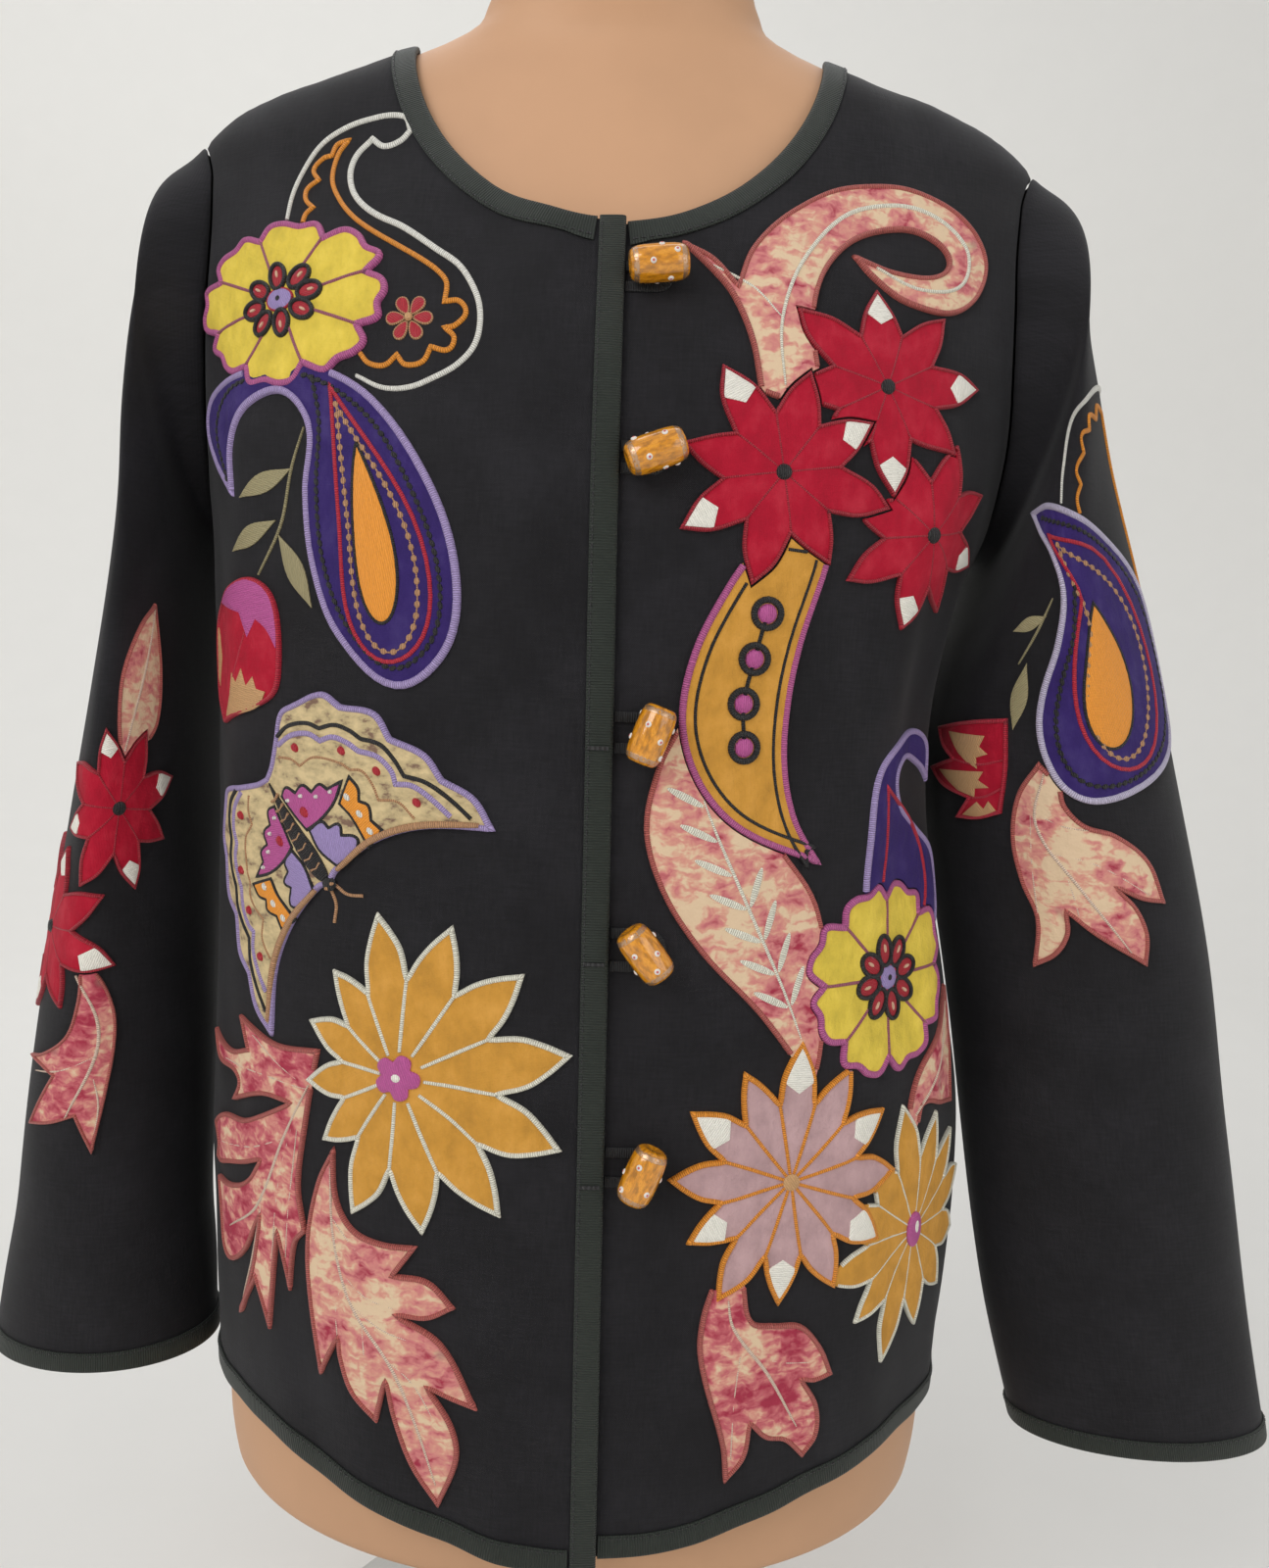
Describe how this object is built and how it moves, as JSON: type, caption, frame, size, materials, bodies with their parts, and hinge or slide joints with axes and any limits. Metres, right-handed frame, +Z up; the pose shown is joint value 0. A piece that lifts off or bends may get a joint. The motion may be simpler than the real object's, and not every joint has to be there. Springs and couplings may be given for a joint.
{
  "type": "embroidered jacket on dress form",
  "caption": "Round-necked long-sleeved jacket with applique flowers, leaves, paisleys and a butterfly, worn by a limbless dress form on a round stand.",
  "frame": {"origin": "middle of the underside of the stand's round base, on the floor", "axes": "+Z up; the jacket's front faces -Y; +X is the wearer's left"},
  "size_m": [0.6379, 0.3043, 0.922],
  "materials": {
    "black_cloth": "soft matt woven linen blend",
    "ribbon": "ribbed grosgrain",
    "cord": "flat ribbed loop",
    "amber_glass": "glossy opaque lampwork glass",
    "form_shell": "satin skin-tone shell",
    "stand_steel": "brushed",
    "yellow": "cotton patch",
    "ochre": "cotton patch",
    "violet": "cotton patch",
    "red": "cotton patch",
    "rose": "tie-dyed cotton patch",
    "lilac": "cotton patch",
    "cream": "marbled cotton patch"
  },
  "bodies": {
    "root": {"dress_form": "form_shell", "stand_base": "stand_steel", "stand_pole": "stand_steel", "front_right": "black_cloth", "front_left": "black_cloth", "back": "black_cloth", "sleeve_right": "black_cloth", "sleeve_left": "black_cloth", "front_binding": "ribbon", "neck_binding_right": "ribbon", "neck_binding_left": "ribbon", "neck_binding_back": "ribbon", "hem_binding_right": "ribbon", "hem_binding_left": "ribbon", "hem_binding_back": "ribbon", "cuff_binding_right": "ribbon", "cuff_binding_left": "ribbon", "loop_1": "cord", "loop_2": "cord", "loop_3": "cord", "loop_4": "cord", "loop_5": "cord", "bead_1": "amber_glass", "bead_2": "amber_glass", "bead_3": "amber_glass", "bead_4": "amber_glass", "bead_5": "amber_glass", "flower_yellow_chest": "yellow", "paisley_violet_chest": "violet", "flower_ochre_hip": "ochre", "bud_tulip": "red", "leaf_acanthus_side": "rose", "leaf_acanthus_hem": "rose", "butterfly": "cream", "star_inner": "red", "star_upper": "red", "star_outer": "red", "pod": "ochre", "scroll": "rose", "flower_yellow_waist": "yellow", "flower_lilac": "lilac", "flower_ochre_side": "ochre", "leaf_large": "rose", "paisley_violet_waist": "violet", "leaf_small": "rose", "leaf_forked": "rose", "star_sleeve_upper": "red", "star_sleeve_lower": "red", "leaf_sleeve_upper": "rose", "leaf_sleeve_lower": "rose", "paisley_violet_sleeve": "violet", "bud_sleeve": "red", "leaf_sleeve_forked": "rose"}
  },
  "joints": []
}
